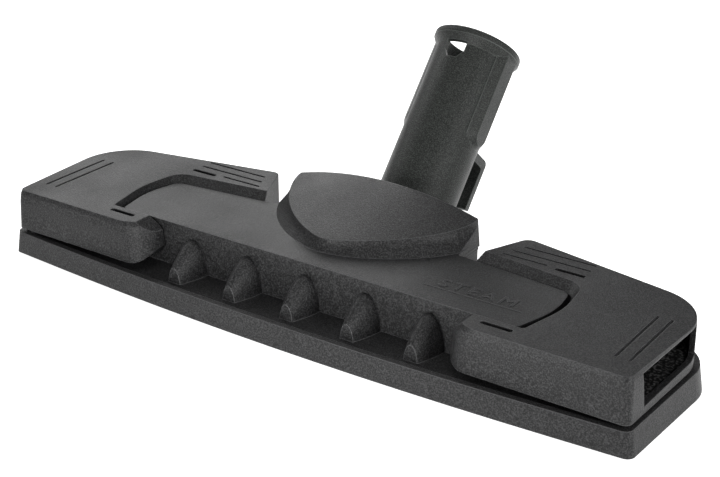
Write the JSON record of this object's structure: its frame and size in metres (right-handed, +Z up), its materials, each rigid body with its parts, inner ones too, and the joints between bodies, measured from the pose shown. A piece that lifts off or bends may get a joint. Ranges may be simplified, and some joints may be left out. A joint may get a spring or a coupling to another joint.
{
  "type": "steam floor nozzle",
  "caption": "Long low floor nozzle with a flat sole, a domed cover, sprung cloth clamps at both ends and a tilting socket neck for a steam lance.",
  "frame": {"origin": "on the floor, under the middle of the sole's underside", "axes": "+X along the nozzle's length to its right end, +Y towards the back where the neck is, +Z up"},
  "size_m": [0.3188, 0.1757, 0.1013],
  "materials": {
    "sole_plastic": "fine-grained black moulding",
    "cover_plastic": "fine-grained black moulding",
    "clamp_plastic": "fine-grained black moulding",
    "neck_plastic": "satin black moulding with lengthwise flow marks",
    "plate_plastic": "plain black moulding",
    "bearing_plastic": "plain black moulding",
    "bush_plastic": "natural low-friction plastic",
    "jaw_rubber": "rough black rubber",
    "seal_rubber": "smooth black rubber",
    "steel": "bright steel"
  },
  "bodies": {
    "base": {"sole": "sole_plastic", "steam_plate": "plate_plastic", "chamber_gasket": "seal_rubber", "body_cover": "cover_plastic", "clamp_pin_right": "steel", "clamp_pin_left": "steel", "clamp_spring_right": "steel", "clamp_spring_left": "steel", "joint_bush_right": "bush_plastic", "joint_bush_left": "bush_plastic", "bearing_cap_right": "bearing_plastic", "bearing_cap_left": "bearing_plastic", "steam_elbow": "bearing_plastic", "joint_seal": "seal_rubber", "body_screws": "steel", "cap_screws": "steel"},
    "neck": {"neck": "neck_plastic"},
    "right_clamp": {"clamp_right": "clamp_plastic", "clamp_jaw_right": "jaw_rubber"},
    "left_clamp": {"clamp_left": "clamp_plastic", "clamp_jaw_left": "jaw_rubber"}
  },
  "joints": [
    {"name": "neck_tilt", "type": "hinge", "parent": "base", "child": "neck", "pos_m": [0, 0.0382, 0.02], "axis": [1, 0, 0], "range_deg": [-21, 26]},
    {"name": "right_clamp_rock", "type": "hinge", "parent": "base", "child": "right_clamp", "pos_m": [0.095, 0, 0.017], "axis": [0, -1, 0], "range_deg": [0, 6], "stiffness_Nm_per_rad": 0.35, "springref_deg": -20.05, "deforming": ["clamp_spring_right"]},
    {"name": "left_clamp_rock", "type": "hinge", "parent": "base", "child": "left_clamp", "pos_m": [-0.095, 0, 0.017], "axis": [0, 1, 0], "range_deg": [0, 6], "stiffness_Nm_per_rad": 0.35, "springref_deg": -20.05, "deforming": ["clamp_spring_left"]}
  ]
}
